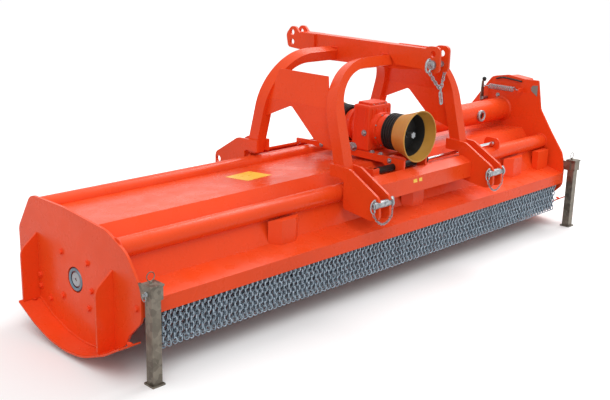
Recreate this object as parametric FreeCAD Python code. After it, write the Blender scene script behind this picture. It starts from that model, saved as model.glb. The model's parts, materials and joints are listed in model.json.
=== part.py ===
import FreeCAD, Part
import os
from math import atan, cos, degrees, hypot, pi, sin, sqrt
from FreeCAD import Vector

# Tractor mulcher: a wide hammer mulcher hung on a tractor's three-point hitch.
# Millimetres. X runs across the machine, the tractor stands at -Y, Z is up from the ground.
# The casing stands still; the headstock slides along its two guide tubes.

# ---------------------------------------------------------------- driving dimensions
HALF_WIDTH = 1627.5        # middle of the machine to each side plate's outer face
SIDE_T = 12.0              # side plate thickness
SKID_W = 103.0             # width of the skids and the belt cover, outside the side plates
SHEET_T = 6.0              # casing sheet thickness
FIT = 0.1                  # clearance of a seat on a round part
RUNNING = 0.35             # clearance of a sliding or turning round part

TUBE_R, TUBE_WALL = 44.45, 8.0               # guide tubes, three and a half inches
FRONT_TUBE_Y, FRONT_TUBE_Z = -314.0, 523.0
REAR_TUBE_Y, REAR_TUBE_Z = 314.0, 557.0
SLIDE_WALL = 10.0          # of the half shells that ride on the guide tubes

ROTOR_Y, ROTOR_Z = -14.0, 308.0
ROTOR_R, SHAFT_R = 105.0, 35.0
HAMMER_TIP_R = 222.0
HAMMERS = 28
HUB_HOLE_R = 58.0

ROLLER_R, ROLLER_Y = 84.0, 322.0             # the roller stands on the ground
ROLLER_AXLE_R = 20.0

SHIFT = 214.0              # headstock middle, as parked
HITCH_HALF = 482.5         # half the span between the lower hitch points, category 3
CLEVIS_GAP = 64.0          # between a pair of hitch plates, and the arch tube's width
PLATE_T = 15.0             # hitch plate thickness
PIN_Y, FRONT_PIN_Z, REAR_PIN_Z = 588.0, 520.0, 535.0
PIN_R, PIN_HEAD_R = 18.3, 26.3

ARCH_Y = 342.0             # arch tube's outer face from the middle, at ARCH_REF_Z
ARCH_REF_Z = 720.0
ARCH_LEAN = 0.265          # how far the arches lean together, per unit of height
ARCH_DEPTH = 68.0
ARCH_TOP, ARCH_TUBE = 1170.0, 52.0           # top face of the top run, and the tube's height there
LEG_END_Z = REAR_TUBE_Z + TUBE_R + SLIDE_WALL + 1.55     # just over the rear slides
OUTER_BEND_R, INNER_BEND_R = 325.0, 200.0

EAR_GAP, EAR_T = 62.0, 14.0                  # top link clevis, and the top beam's width
TOP_PIN_Y, TOP_PIN_RISE, TOP_PIN_DROP = 505.0, 30.0, 54.0    # rise over ARCH_TOP, drop to the lower hole
TOP_PIN_R = 15.9
REAR_EAR_RISE = 22.0       # how much higher the rear ears' holes are

PTO_Z, PTO_R = 757.0, 17.45                  # power take-off axis and stub radius
GEARBOX_Y, GEARBOX_HALF_W, GEARBOX_HALF_L = -85.0, 98.0, 61.0
GEARBOX_Z0, GEARBOX_Z1 = 640.0, 888.0
HOUSING_L, COLLAR_L, CONE_L = 82.0, 80.0, 114.0
OUTLET_T = 16.0            # flange of the cross drive's outlet on the gearbox's right side
COLLAR_R, CONE_BACK_R, CONE_RIM_R = 100.0, 102.0, 138.0

DRIVE_Y, DRIVE_Z = 0.0, 690.0                # cross drive axis
DRIVE_TUBE_R, DRIVE_WALL = 72.0, 5.0

BARREL_R, ROD_R = 18.0, 9.0
CYLINDER_Y = -325.0                          # side-shift cylinder axis
CYLINDER_Z = FRONT_TUBE_Z + TUBE_R + BARREL_R + 4.55     # the barrel just clears the guide tube
BARREL_X0, BARREL_X1 = -51.0, 403.0
ROD_X0, ROD_LUG_X = 158.0, 1060.0

LIP_Y, LIP_Z0, LIP_Z1 = -494.0, 279.0, 345.0     # front lip of the casing
CHAIN_END_Z, CHAIN_PITCH = 98.0, 30.0

STAND_Y, STAND_W, STAND_TOP = -541.0, 45.0, 428.0
STAND_X = {"left": -HALF_WIDTH + 25.5, "right": HALF_WIDTH + 23.5}

FLAP_Y, FLAP_Z, FLAP_PIN_R = 432.0, 345.0, 8.0

INSIDE = HALF_WIDTH - SIDE_T                 # middle to each side plate's inner face
LEFT_HITCH, RIGHT_HITCH = SHIFT - HITCH_HALF, SHIFT + HITCH_HALF
ARCH_UNDER = ARCH_TOP - ARCH_TUBE
TOP_PIN_Z = ARCH_TOP + TOP_PIN_RISE
ROLLER_Z = ROLLER_R
ALONG_X, ALONG_Y = Vector(1, 0, 0), Vector(0, 1, 0)
ORIGIN = Vector(0, 0, 0)

# ---------------------------------------------------------------- shape helpers


def box(x0, x1, y0, y1, z0, z1):
    return Part.makeBox(x1 - x0, y1 - y0, z1 - z0, Vector(x0, y0, z0))


def rod_x(x0, x1, y, z, radius):
    return Part.makeCylinder(radius, x1 - x0, Vector(x0, y, z), ALONG_X)


def rod_y(x, y0, y1, z, radius):
    return Part.makeCylinder(radius, y1 - y0, Vector(x, y0, z), ALONG_Y)


def pipe_x(x0, x1, y, z, radius, bore):
    return rod_x(x0, x1, y, z, radius).cut(rod_x(x0 - 1, x1 + 1, y, z, bore))


def outline(corners, at):
    """Closed wire through (a, b) or (a, b, radius) corners, rounded by tangent arcs."""
    starts, ends, edges = [], [], []
    count = len(corners)
    for i in range(count):
        here = Vector(corners[i][0], corners[i][1], 0)
        back = Vector(corners[i - 1][0], corners[i - 1][1], 0) - here
        ahead = Vector(corners[(i + 1) % count][0], corners[(i + 1) % count][1], 0) - here
        radius = corners[i][2] if len(corners[i]) > 2 else 0.0
        if radius == 0.0:
            starts.append(here)
            ends.append(here)
            continue
        half = back.getAngle(ahead) / 2
        reach = radius * cos(half) / sin(half)
        reach = min(reach, 0.49 * back.Length, 0.49 * ahead.Length)
        radius = reach * sin(half) / cos(half)
        u, w = Vector(back).normalize(), Vector(ahead).normalize()
        middle = here + (u + w).normalize() * (radius / sin(half) - radius)
        starts.append(here + u * reach)
        ends.append(here + w * reach)
        edges.append(Part.Arc(at(starts[-1]), at(middle), at(ends[-1])).toShape())
    for i in range(count):
        a, b = ends[i], starts[(i + 1) % count]
        if a.distanceToPoint(b) > 1e-6:
            edges.append(Part.makeLine(at(a), at(b)))
    return Part.Wire(Part.__sortEdges__(edges))


def plate_x(corners, x0, x1):
    """Flat plate standing across X, from (y, z) corners."""
    wire = outline(corners, lambda p: Vector(x0, p.x, p.y))
    return Part.Face(wire).extrude(Vector(x1 - x0, 0, 0))


def plate_y(corners, y0, y1):
    """Flat plate standing across Y, from (x, z) corners."""
    wire = outline(corners, lambda p: Vector(p.x, y0, p.y))
    return Part.Face(wire).extrude(Vector(0, y1 - y0, 0))


def folded_line(points, thickness):
    """Corners of a sheet of the given thickness, laid to the left of a line of (a, b) points."""
    offset = []
    last = len(points) - 1
    for i, (a, b) in enumerate(points):
        before = points[max(i, 1) - 1], points[max(i, 1)]
        after = points[min(i, last - 1)], points[min(i, last - 1) + 1]
        normals = []
        for (a0, b0), (a1, b1) in (before, after):
            length = hypot(a1 - a0, b1 - b0)
            normals.append(((b0 - b1) / length, (a1 - a0) / length))
        na, nb = normals[0][0] + normals[1][0], normals[0][1] + normals[1][1]
        scale = 2 * thickness / (na * na + nb * nb)
        offset.append((a + na * scale, b + nb * scale))
    return list(points) + offset[::-1]


def sheet(points, thickness, x0, x1):
    """Folded sheet running across the machine."""
    return plate_x(folded_line(points, thickness), x0, x1)


def fuse(shapes):
    joined = shapes[0]
    for shape in shapes[1:]:
        joined = joined.fuse(shape)
    return joined.removeSplitter()


def group(shapes):
    return Part.makeCompound(shapes)


def mirrored_x(shape):
    return shape.mirror(ORIGIN, ALONG_X)


def largest(shape):
    return max(shape.Solids, key=lambda solid: solid.Volume)


# ---------------------------------------------------------------- casing
FRONT_TUBE_SEAT = rod_x(-INSIDE - 1, INSIDE + 1, FRONT_TUBE_Y, FRONT_TUBE_Z, TUBE_R + FIT)
REAR_TUBE_SEAT = rod_x(-INSIDE - 1, INSIDE + 1, REAR_TUBE_Y, REAR_TUBE_Z, TUBE_R + FIT)
FRONT_WALL = [(LIP_Y, LIP_Z0), (LIP_Y, LIP_Z1), (-360, 377), (-318, 489)]
SKID_T = 8.0
LOW_EDGE = [(-375, 119, 120), (-213, 54, 400), (-80, 37, 400), (50, 48, 400), (181, 88, 400)]
NOSE = [(-496, 400, 110), (-496, 262, 60), (-411, 178, 60)]


def guide_tube(y, z):
    return pipe_x(-INSIDE, INSIDE, y, z, TUBE_R, TUBE_R - TUBE_WALL)


def left_side_plate():
    """Rounded end plate: nose, straight run up the skid, and a low back."""
    corners = NOSE + LOW_EDGE + [(304, 150, 80), (410, 195, 60), (453, 300, 120), (453, 440, 60),
                                 (335, 616, 70), (60, 618, 200), (-262, 592, 160), (-400, 530, 140)]
    plate = plate_x(corners, -HALF_WIDTH, -INSIDE)
    return plate.cut(rod_x(-HALF_WIDTH - 1, -INSIDE + 1, ROTOR_Y, ROTOR_Z, HUB_HOLE_R))


def right_side_plate():
    """End plate that rises to a tower behind the belt drive."""
    corners = NOSE + LOW_EDGE + [(304, 150, 80), (410, 195, 60), (453, 300, 120), (453, 440, 60),
                                 (239, 685, 120), (82, 894, 60), (-39, 916, 60), (-161, 902),
                                 (-263, 904, 8), (-296, 726, 60), (-381, 600, 60), (-474, 474, 60)]
    plate = plate_x(corners, INSIDE, HALF_WIDTH)
    return plate.cut(rod_x(INSIDE - 1, HALF_WIDTH + 1, ROTOR_Y, ROTOR_Z, HUB_HOLE_R))


def top_sheet():
    """Roof of the rotor chamber: a long fall to the rear tube and a steep fold to the front one."""
    line = [(285, 561), (-173, 590), (-232, 512), (-282, 496)]
    return sheet(line, SHEET_T, -INSIDE, INSIDE).cut(FRONT_TUBE_SEAT).cut(REAR_TUBE_SEAT)


def front_sheet():
    return sheet(FRONT_WALL[::-1], SHEET_T, -INSIDE, INSIDE).cut(FRONT_TUBE_SEAT)


def rear_sheet():
    line = [(330, 525), (FLAP_Y, 392), (FLAP_Y, FLAP_Z + 17)]
    return sheet(line, -SHEET_T, -INSIDE, INSIDE).cut(REAR_TUBE_SEAT)


def front_ribs():
    """Stiffeners pressed against the front wall under the front guide tube."""
    behind_wall = FRONT_WALL[1:] + [(-200, 600), (-200, 200), (LIP_Y, 200)]
    back, face, foot_z, height = -355, -394, 340, 145
    ribs = []
    shares = ((-0.4375, 100, 45), (0.162, 100, 45), (0.761, 100, 45), (0.94, 65, 60))
    for share, half_back, half_face in shares:
        x = share * HALF_WIDTH
        plan = [(x - half_back, back), (x - half_face, face), (x + half_face, face), (x + half_back, back)]
        wire = outline(plan, lambda p: Vector(p.x, p.y, foot_z))
        rib = Part.Face(wire).extrude(Vector(0, 0, height))
        ribs.append(rib.cut(plate_x(behind_wall, -INSIDE, INSIDE)).cut(FRONT_TUBE_SEAT))
    return group(ribs)


def skid():
    """Left skid: a runner bent to the side plate's low edge, with a fin near each end."""
    x0, x1 = HALF_WIDTH, HALF_WIDTH + SKID_W
    gap, fin_w = 6.0, 85.0
    bend = [(y, z - gap - SKID_T) + tuple(rest) for y, z, *rest in LOW_EDGE]
    area = plate_x([(-487, 171)] + bend + [(304, 135), (304, 500), (-487, 500)], x0, x1)
    above = area.copy()
    above.translate(Vector(0, 0, SKID_T))
    pieces = [area.cut(above)]
    for y, foot, head in ((-304, 79, 432), (290, 138, 450)):
        corners = [(x0, foot), (x0 + fin_w, foot), (x0 + fin_w, head - 70, 60), (x0, head)]
        pieces.append(plate_y(corners, y, y + 10))
    return mirrored_x(fuse(pieces))


def belt_cover():
    """Closed guard over the belts, outside the right side plate."""
    corners = [(-155, 896, 15), (-190, 715, 60), (-285, 560, 60), (-285, 180, 60), (130, 180, 60),
               (232, 300, 60), (232, 610, 80), (75, 886, 60), (-39, 908, 60)]
    return plate_x(corners, HALF_WIDTH, HALF_WIDTH + SKID_W)


def right_skid():
    return mirrored_x(skid()).cut(belt_cover())


def rotor_bearings():
    """Square flanged bearings inside the side plates, seen through the hub holes."""
    half, thick = 125.0, 30.0
    x0, x1 = -INSIDE, -INSIDE + thick
    flange = box(x0, x1, ROTOR_Y - half, ROTOR_Y + half, ROTOR_Z - half, ROTOR_Z + half)
    left = flange.cut(rod_x(x0 - 1, x1 + 1, ROTOR_Y, ROTOR_Z, SHAFT_R + FIT / 2))
    return group([left, mirrored_x(left)])


def roller_arms():
    """Brackets that carry the roller, bolted to the side plates."""
    web_t = 30.0
    corners = [(ROLLER_Y - 45, ROLLER_Z - 30, 30), (ROLLER_Y + 45, ROLLER_Z - 30, 30),
               (ROLLER_Y + 75, 330), (ROLLER_Y - 75, 330)]
    arm = plate_x(corners, -INSIDE, -INSIDE + web_t)
    arm = arm.cut(rod_x(-INSIDE - 1, -INSIDE + web_t + 1, ROLLER_Y, ROLLER_Z, ROLLER_AXLE_R + FIT / 2))
    return group([arm, mirrored_x(arm)])


def chain_rail():
    """Bar that carries the chains, under the front lip."""
    return box(-INSIDE, INSIDE, LIP_Y + SHEET_T, LIP_Y + 46, LIP_Z0 + 24, LIP_Z0 + 34)


def chain_curtain():
    """Two staggered rows of hanging chain, where each plain bar stands for two neighbouring chains."""
    strands = []
    margin, width, depth = 30.0, 20.0, 8.0
    setbacks = (12.0, 34.0)
    for i in range(int((2 * INSIDE - 2 * margin) / CHAIN_PITCH)):
        x = -INSIDE + margin + i * CHAIN_PITCH
        y = LIP_Y + setbacks[i % 2]
        strands.append(box(x, x + width, y, y + depth, CHAIN_END_Z, LIP_Z0 + 24))
    return group(strands)


def stand_guide(x, side):
    """Square sleeve on a web from the side plate's nose, round the top of a parking stand."""
    inner, outer = STAND_W / 2 + 1, STAND_W / 2 + 7
    z0, z1 = STAND_TOP - 58, STAND_TOP - 2
    sleeve = box(x - outer, x + outer, STAND_Y - outer, STAND_Y + outer, z0, z1)
    sleeve = sleeve.cut(box(x - inner, x + inner, STAND_Y - inner, STAND_Y + inner, z0 - 1, z1 + 1))
    plate_x0 = side * HALF_WIDTH if side < 0 else INSIDE
    web = box(plate_x0, plate_x0 + SIDE_T, STAND_Y, -455, z0, z1)
    web = web.cut(box(x - inner, x + inner, STAND_Y - inner, STAND_Y + inner, z0 - 1, z1 + 1))
    plate = left_side_plate() if side < 0 else right_side_plate()
    return largest(fuse([sleeve, web]).cut(plate))


# ---------------------------------------------------------------- moving pieces of the casing


def rotor():
    tube = rod_x(-INSIDE + 55, INSIDE - 55, ROTOR_Y, ROTOR_Z, ROTOR_R)
    return tube.fuse(rod_x(-INSIDE - 6, INSIDE + 6, ROTOR_Y, ROTOR_Z, SHAFT_R))


def hammers():
    """Hammers in a four-start spiral, each hung between two lugs on the rotor tube."""
    first = INSIDE - 115
    foot, hanger, tip = ROTOR_R + FIT, ROTOR_R + 14, HAMMER_TIP_R - 8
    shoulder = tip - 38
    lug = [(-15, foot), (15, foot), (12, ROTOR_R + 45), (-12, ROTOR_R + 45)]
    head = [(-12, hanger), (12, hanger), (36, shoulder), (36, tip), (-36, tip), (-36, shoulder)]
    quarter_turns = (0, 180, 90, 270)
    pieces = []
    for i in range(HAMMERS):
        x = -first + 2 * first * i / (HAMMERS - 1)
        pair = [plate_x(lug, x - 34, x - 24), plate_x(lug, x + 24, x + 34)]
        piece = fuse([plate_x(head, x - 24, x + 24)] + pair)
        piece.rotate(ORIGIN, ALONG_X, quarter_turns[i % 4])
        piece.translate(Vector(0, ROTOR_Y, ROTOR_Z))
        pieces.append(piece)
    return group(pieces)


def rear_roller():
    drum = rod_x(-INSIDE + 55, INSIDE - 55, ROLLER_Y, ROLLER_Z, ROLLER_R)
    return drum.fuse(rod_x(-INSIDE + 3, INSIDE - 3, ROLLER_Y, ROLLER_Z, ROLLER_AXLE_R))


def rear_flap():
    """Hanging rear door with its rolled hinge."""
    end = INSIDE - 40
    line = [(FLAP_Y + 2, FLAP_Z - 3), (FLAP_Y + 14, FLAP_Z - 145), (FLAP_Y + 8, FLAP_Z - 160)]
    leaf = sheet(line, -5, -end, end)
    knuckle = rod_x(-end, end, FLAP_Y, FLAP_Z, FLAP_PIN_R + 4)
    return leaf.fuse(knuckle).cut(rod_x(-end - 1, end + 1, FLAP_Y, FLAP_Z, FLAP_PIN_R + FIT / 2))


def parking_stand(x):
    """Square tube with a foot plate below and a cap plate above."""
    half, wall, foot_t = STAND_W / 2, 4.0, 8.0
    foot, cap = 31.0, 33.0
    tube = box(x - half, x + half, STAND_Y - half, STAND_Y + half, foot_t, STAND_TOP)
    hole = half - wall
    tube = tube.cut(box(x - hole, x + hole, STAND_Y - hole, STAND_Y + hole, foot_t - 1, STAND_TOP + 1))
    return fuse([tube, box(x - foot, x + foot, STAND_Y - foot, STAND_Y + foot, 0, foot_t),
                 box(x - cap, x + cap, STAND_Y - cap, STAND_Y + cap, STAND_TOP, STAND_TOP + 8)])


# ---------------------------------------------------------------- headstock


def top_beam():
    """Box beam from ear to ear, a little deeper where it crosses the arches."""
    end, waist = 450, 300
    corners = [(-end, ARCH_TOP + 50), (end, ARCH_TOP + 58), (end, ARCH_UNDER), (waist, ARCH_UNDER - 28),
               (-waist, ARCH_UNDER - 18), (-end, ARCH_UNDER)]
    return plate_x(corners, SHIFT - EAR_GAP / 2, SHIFT + EAR_GAP / 2)


def ear_pair(side, corners, upper_z, lower_bore):
    """Two clevis plates against the beam, each with an upper and a lower top-link hole."""
    ears = []
    for x0 in (SHIFT - EAR_GAP / 2 - EAR_T, SHIFT + EAR_GAP / 2):
        ear = plate_x([(side * c[0],) + c[1:] for c in corners], x0, x0 + EAR_T)
        for z, bore in ((upper_z, TOP_PIN_R + RUNNING), (upper_z - TOP_PIN_DROP, lower_bore)):
            ear = ear.cut(rod_x(x0 - 1, x0 + EAR_T + 1, side * TOP_PIN_Y, z, bore))
        ears.append(ear)
    return group(ears)


def front_top_ears():
    edge, tip = ARCH_TOP + 54, TOP_PIN_Y + 42
    low, high = TOP_PIN_Z - 94, TOP_PIN_Z + 38
    corners = [(221, edge), (221, ARCH_TOP + 1), (265, ARCH_UNDER + 5), (440, ARCH_UNDER), (470, low, 20),
               (tip, low, 24), (tip, high, 26), (480, high, 30), (455, edge, 20)]
    return ear_pair(-1, corners, TOP_PIN_Z, TOP_PIN_R + FIT)


def rear_top_ears():
    edge, low, pin_z = ARCH_TOP + 56, ARCH_UNDER + 12, TOP_PIN_Z + REAR_EAR_RISE
    corners = [(330, edge), (330, low), (440, low), (489, low + 3, 20), (TOP_PIN_Y + 33, low + 7, 24),
               (TOP_PIN_Y + 49, pin_z - 12, 40), (TOP_PIN_Y + 7, pin_z + 35, 26), (478, pin_z + 32, 20),
               (451, edge)]
    return ear_pair(1, corners, pin_z, TOP_PIN_R + RUNNING)


def arch_profile():
    """The bent tube seen square on: legs, wide bends and a flat top, open at the foot.

    Heights are measured along the slope from ARCH_REF_Z."""
    slope = sqrt(1 + ARCH_LEAN ** 2)
    outer, inner = HITCH_HALF + CLEVIS_GAP / 2, HITCH_HALF - CLEVIS_GAP / 2
    top, under = (ARCH_TOP - ARCH_REF_Z) * slope, (ARCH_UNDER - ARCH_REF_Z) * slope
    foot = (LEG_END_Z - ARCH_REF_Z) * slope - 30
    return [(SHIFT - outer, foot), (SHIFT - outer, top, OUTER_BEND_R), (SHIFT + outer, top, OUTER_BEND_R),
            (SHIFT + outer, foot), (SHIFT + inner, foot), (SHIFT + inner, under, INNER_BEND_R),
            (SHIFT - inner, under, INNER_BEND_R), (SHIFT - inner, foot)]


def arch(side):
    """Bent box tube leaning towards the other arch, cut level at its feet and butted to the beam."""
    body = plate_y(arch_profile(), 0, ARCH_DEPTH)
    body.rotate(ORIGIN, ALONG_X, -degrees(atan(ARCH_LEAN)))
    body.translate(Vector(0, -ARCH_Y, ARCH_REF_Z))
    if side > 0:
        body = body.mirror(ORIGIN, ALONG_Y)
    body = body.cut(box(LEFT_HITCH - 200, RIGHT_HITCH + 200, -600, 600, 400, LEG_END_Z))
    return body.cut(top_beam()).cut(front_top_ears() if side < 0 else rear_top_ears())


def hitch_plates(side, corners, pin_z, bore):
    """The four plates of one pair of lower clevises, outside each leg's faces."""
    plates = []
    for x in (LEFT_HITCH, RIGHT_HITCH):
        for x0 in (x - CLEVIS_GAP / 2 - PLATE_T, x + CLEVIS_GAP / 2):
            plate = plate_x([(side * c[0],) + c[1:] for c in corners], x0, x0 + PLATE_T)
            plates.append(plate.cut(rod_x(x0 - 1, x0 + PLATE_T + 1, side * PIN_Y, pin_z, bore)))
    return group(plates)


def front_hitch_plates():
    window = FRONT_TUBE_Z + TUBE_R + 39
    pin_z, tip = FRONT_PIN_Z, PIN_Y + 12
    corners = [(273, 668), (407, 661, 40), (tip, pin_z + 32, 40), (tip + 6, pin_z - 76, 30),
               (tip - 45, pin_z - 88, 30), (380, 454), (369, 466), (369, window, 20), (273, window)]
    return hitch_plates(-1, corners, FRONT_PIN_Z, PIN_R + FIT)


def rear_hitch_plates():
    window = REAR_TUBE_Z + TUBE_R + 25
    pin_z, tip = REAR_PIN_Z, PIN_Y + PIN_HEAD_R
    corners = [(269, 690), (428, 683, 40), (tip, pin_z + 35, 40), (tip, pin_z - 35, 30),
               (tip - 49, pin_z - 85, 30), (380, 482), (369, 496), (369, window, 20), (269, window)]
    return hitch_plates(1, corners, REAR_PIN_Z, PIN_R + RUNNING)


def guide_slides():
    """Shells between the hitch plates that ride on the outer side of each guide tube."""
    shell_r, block_h = TUBE_R + SLIDE_WALL, 30
    shells = []
    for x in (LEFT_HITCH, RIGHT_HITCH):
        x0, x1 = x - CLEVIS_GAP / 2, x + CLEVIS_GAP / 2
        for side, y, z in ((-1, FRONT_TUBE_Y, FRONT_TUBE_Z), (1, REAR_TUBE_Y, REAR_TUBE_Z)):
            near, far = sorted((y + side * TUBE_R / 2, y + side * shell_r))
            half = box(x0, x1, near, far, z - 0.8 * TUBE_R, z + shell_r)
            near, far = sorted((y + side * 0.8 * TUBE_R, y + side * (shell_r + 32)))
            block = box(x0, x1, near, far, z - block_h, z + block_h)
            shell = rod_x(x0, x1, y, z, shell_r).common(half).fuse(block)
            shells.append(shell.cut(rod_x(x0 - 1, x1 + 1, y, z, TUBE_R + FIT)).removeSplitter())
    return group(shells)


CROSS_X0, CROSS_X1 = LEFT_HITCH + CLEVIS_GAP / 2 + PLATE_T, RIGHT_HITCH - CLEVIS_GAP / 2 - PLATE_T
CROSS_T, CROSS_DROP = 12.0, 91.45            # thickness, and foot under the guide tubes' tops


def cross_member(side, base_z):
    """Folded plate that ties the inner hitch plates together, outside a guide tube."""
    line = [(446, base_z), (446, base_z + 77), (386, base_z + 102)]
    return sheet([(side * y, z) for y, z in line], -side * CROSS_T, CROSS_X0, CROSS_X1)


def front_cross_member():
    return cross_member(-1, FRONT_TUBE_Z + TUBE_R - CROSS_DROP).cut(cylinder_base_lug())


def rear_cross_member():
    return cross_member(1, REAR_TUBE_Z + TUBE_R - 108.45)


def gearbox_seat():
    """Two long plates over both guide tubes, and the bed plate that the gearbox stands on."""
    over_front, over_rear = FRONT_TUBE_Z + TUBE_R + 7, REAR_TUBE_Z + TUBE_R + 7
    corners = [(-400, over_front - 13), (-370, over_front), (-300, over_front), (-255, 602), (240, 604),
               (265, over_rear), (370, over_rear), (400, over_rear - 29), (400, 628), (150, GEARBOX_Z0),
               (-400, GEARBOX_Z0)]
    bed_y0, bed_y1 = GEARBOX_Y - GEARBOX_HALF_L - 100, GEARBOX_Y + GEARBOX_HALF_L + 100
    left, right = SHIFT - GEARBOX_HALF_W, SHIFT + GEARBOX_HALF_W
    pieces = [box(left, right, bed_y0, bed_y1, GEARBOX_Z0 - CROSS_T, GEARBOX_Z0)]
    for x0 in (left, right - CROSS_T):
        plate = plate_x(corners, x0, x0 + CROSS_T)
        plate = plate.cut(rod_x(x0 - 1, x0 + CROSS_T + 1, CYLINDER_Y, CYLINDER_Z, BARREL_R + 2))
        pieces.append(plate)
    seat = fuse(pieces)
    return seat.cut(front_cross_member()).cut(rear_cross_member())


def side_panel(side):
    """Folded panel that fills the upper part of one side between the two arches' legs."""
    x = LEFT_HITCH if side < 0 else RIGHT_HITCH
    low, rear, fold, high = 715, 828, 930, ARCH_UNDER - 33
    line = [(x, 600), (x, fold), (x - side * 0.2 * (high - fold), high)]
    band = plate_y(folded_line(line, SHEET_T), -400, 400)

    def leg_face(z):
        return ARCH_Y - ARCH_DEPTH * sqrt(1 + ARCH_LEAN ** 2) - ARCH_LEAN * (z - ARCH_REF_Z)

    corners = [(-leg_face(low), low), (-114, 762, 20), (52, 909, 25), (leg_face(rear), rear),
               (leg_face(high), high), (-leg_face(high), high)]
    return band.common(plate_x(corners, x - 100, x + 100))


def lower_hitch_pins():
    """Lower link pins, each with a head on the right and a free end on the left."""
    pins = []
    reach = CLEVIS_GAP / 2 + PLATE_T
    for x in (LEFT_HITCH, RIGHT_HITCH):
        pins.append(fuse([rod_x(x - reach - 26, x + reach, -PIN_Y, FRONT_PIN_Z, PIN_R),
                          rod_x(x + reach, x + reach + 10, -PIN_Y, FRONT_PIN_Z, PIN_HEAD_R)]))
    return group(pins)


def top_link_pin():
    """Top link pin in the lower pair of holes, with a head on the left."""
    reach, z = EAR_GAP / 2 + EAR_T, TOP_PIN_Z - TOP_PIN_DROP
    return fuse([rod_x(SHIFT - reach - 10, SHIFT - reach, -TOP_PIN_Y, z, TOP_PIN_R + 8),
                 rod_x(SHIFT - reach, SHIFT + reach + 24, -TOP_PIN_Y, z, TOP_PIN_R)])


# ---------------------------------------------------------------- gearbox and power take-off
FACE_FRONT, FACE_REAR = GEARBOX_Y - GEARBOX_HALF_L, GEARBOX_Y + GEARBOX_HALF_L


def turned_ring(section):
    """Ring turned round the power take-off axis from a closed (y, radius) section, in close flats."""
    flats = 32

    def corner(k, y, radius):
        angle = 2 * pi * k / flats
        return Vector(SHIFT + radius * cos(angle), y, PTO_Z + radius * sin(angle))

    faces = []
    for k in range(flats):
        for a, b in zip(section, section[1:] + section[:1]):
            quad = [corner(k, *a), corner(k, *b), corner(k + 1, *b), corner(k + 1, *a)]
            faces.append(Part.Face(Part.makePolygon(quad + quad[:1])))
    solid = Part.makeSolid(Part.makeShell(faces))
    if solid.Volume < 0:
        solid.reverse()
    return solid


def gearbox_housing(side):
    """Round bearing housing on one end of the gearbox, with a raised rib."""
    start = FACE_REAR if side > 0 else FACE_FRONT
    body_r, rib_r, bore = 86.0, 95.0, 24.0
    section = [(0, body_r), (24, body_r), (24, rib_r), (38, rib_r), (38, body_r), (HOUSING_L, body_r),
               (HOUSING_L, bore), (0, bore)]
    return turned_ring([(start + side * along, radius) for along, radius in section])


def gearbox():
    """Cast box with a round housing at each end and the cross drive's outlet at one side."""
    left, right = SHIFT - GEARBOX_HALF_W, SHIFT + GEARBOX_HALF_W
    body = box(left, right, FACE_FRONT, FACE_REAR, GEARBOX_Z0, GEARBOX_Z1)
    body = body.makeFillet(16, [e for e in body.Edges if abs(e.tangentAt(e.FirstParameter).z) > 0.9])
    lid = box(SHIFT - 66, SHIFT + 66, FACE_FRONT + 12, FACE_REAR - 12, GEARBOX_Z1, GEARBOX_Z1 + 14)
    outlet = box(right, right + OUTLET_T, FACE_REAR - 30, FACE_REAR + HOUSING_L, GEARBOX_Z0, 762)
    box_part = fuse([body, lid, outlet]).cut(rod_y(SHIFT, FACE_FRONT - 1, FACE_REAR + 1, PTO_Z, PTO_R + 3))
    return group([box_part, gearbox_housing(-1), gearbox_housing(1)])


def cone_collars():
    """Black collars between the gearbox housings and the cone guards."""
    collars = []
    for start, side in ((FACE_FRONT - HOUSING_L, -1), (FACE_REAR + HOUSING_L, 1)):
        end = start + side * COLLAR_L
        collars.append(turned_ring([(start, COLLAR_R), (end, COLLAR_R), (end, 40.0), (start, 40.0)]))
    return group(collars)


def cone_guard(side):
    """Flared guard round a power take-off stub."""
    wall = 4.0
    start = (FACE_REAR if side > 0 else FACE_FRONT) + side * (HOUSING_L + COLLAR_L)
    rim = start + side * CONE_L
    return turned_ring([(start, CONE_BACK_R), (rim, CONE_RIM_R), (rim, CONE_RIM_R - wall),
                        (start, CONE_BACK_R - wall)])


def pto_shaft():
    """Through shaft with a stub at each end, thicker where the gearbox carries it."""
    inner_front, inner_rear = FACE_FRONT - HOUSING_L, FACE_REAR + HOUSING_L
    stub, seat = 148.0, PTO_R + 3 - FIT / 2
    return fuse([rod_y(SHIFT, inner_front - stub, inner_rear + stub, PTO_Z, PTO_R),
                 rod_y(SHIFT, inner_front, inner_rear, PTO_Z, seat)])


def drive_guard():
    """Guard on the gearbox's outlet, sliding inside the casing's drive tube, closed round its shaft."""
    x0 = SHIFT + GEARBOX_HALF_W + OUTLET_T
    return rod_x(x0, x0 + 602, DRIVE_Y, DRIVE_Z, DRIVE_TUBE_R - DRIVE_WALL - 6)


def drive_tube():
    """Tube round the cross drive from the belt side to the headstock, with a capped access port."""
    x0, port_x, port_r, port_y = 560.0, INSIDE - 340, 34.0, DRIVE_Y - DRIVE_TUBE_R - 14
    bore = rod_x(x0 - 1, INSIDE - 12, DRIVE_Y, DRIVE_Z, DRIVE_TUBE_R - DRIVE_WALL)
    port = rod_y(port_x, port_y, DRIVE_Y - 30, DRIVE_Z, port_r)
    tube = rod_x(x0, INSIDE, DRIVE_Y, DRIVE_Z, DRIVE_TUBE_R).fuse(port).cut(bore)
    return tube.cut(rod_y(port_x, port_y - 1, port_y + 12, DRIVE_Z, port_r - 14)).removeSplitter()


# ---------------------------------------------------------------- side-shift cylinder
LUG_Z = FRONT_TUBE_Z + TUBE_R + 7
BASE_PIN_R = 8.0


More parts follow.
